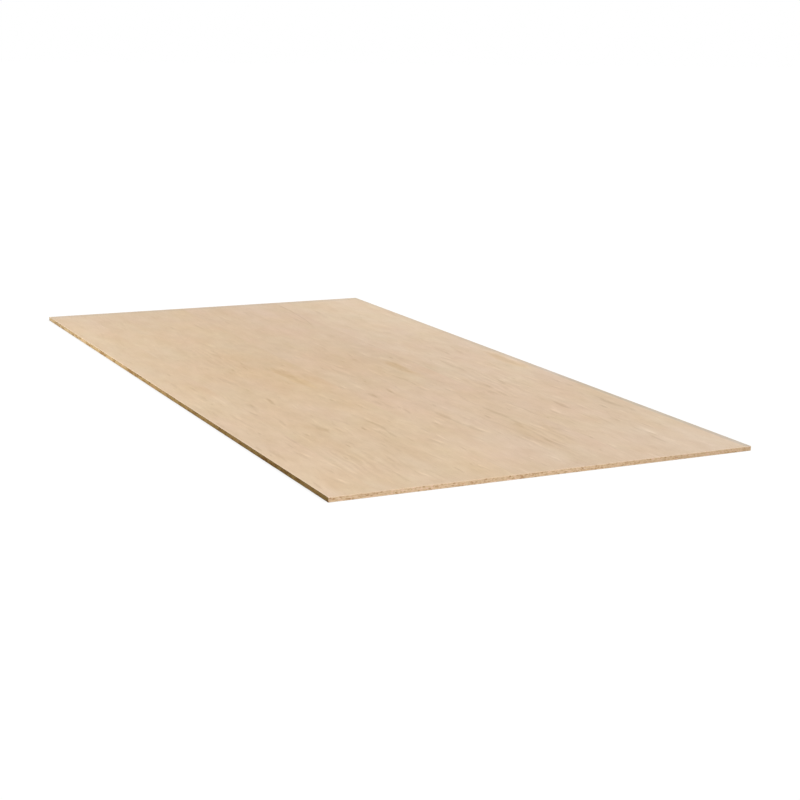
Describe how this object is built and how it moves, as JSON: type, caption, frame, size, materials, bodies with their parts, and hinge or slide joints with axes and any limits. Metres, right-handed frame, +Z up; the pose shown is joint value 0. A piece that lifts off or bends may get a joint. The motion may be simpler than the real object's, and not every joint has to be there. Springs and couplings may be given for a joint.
{
  "type": "plywood sheet",
  "caption": "Full-size flat rectangular plywood sheet with a sanded pale hardwood face veneer, sawn edges and eased arrises, lying flat as panel stock for cutting or fastening to framing.",
  "frame": {"origin": "middle of the back face, on the surface that the sheet lies on", "axes": "+Y along the sheet's length and its face grain, +X across its width, +Z up out of the face veneer"},
  "size_m": [1.2192, 2.4384, 0.0127],
  "materials": {
    "plywood": "sanded, unfinished hardwood veneer with sawn plywood edges"
  },
  "bodies": {
    "root": {"plywood_sheet": "plywood"}
  },
  "joints": []
}
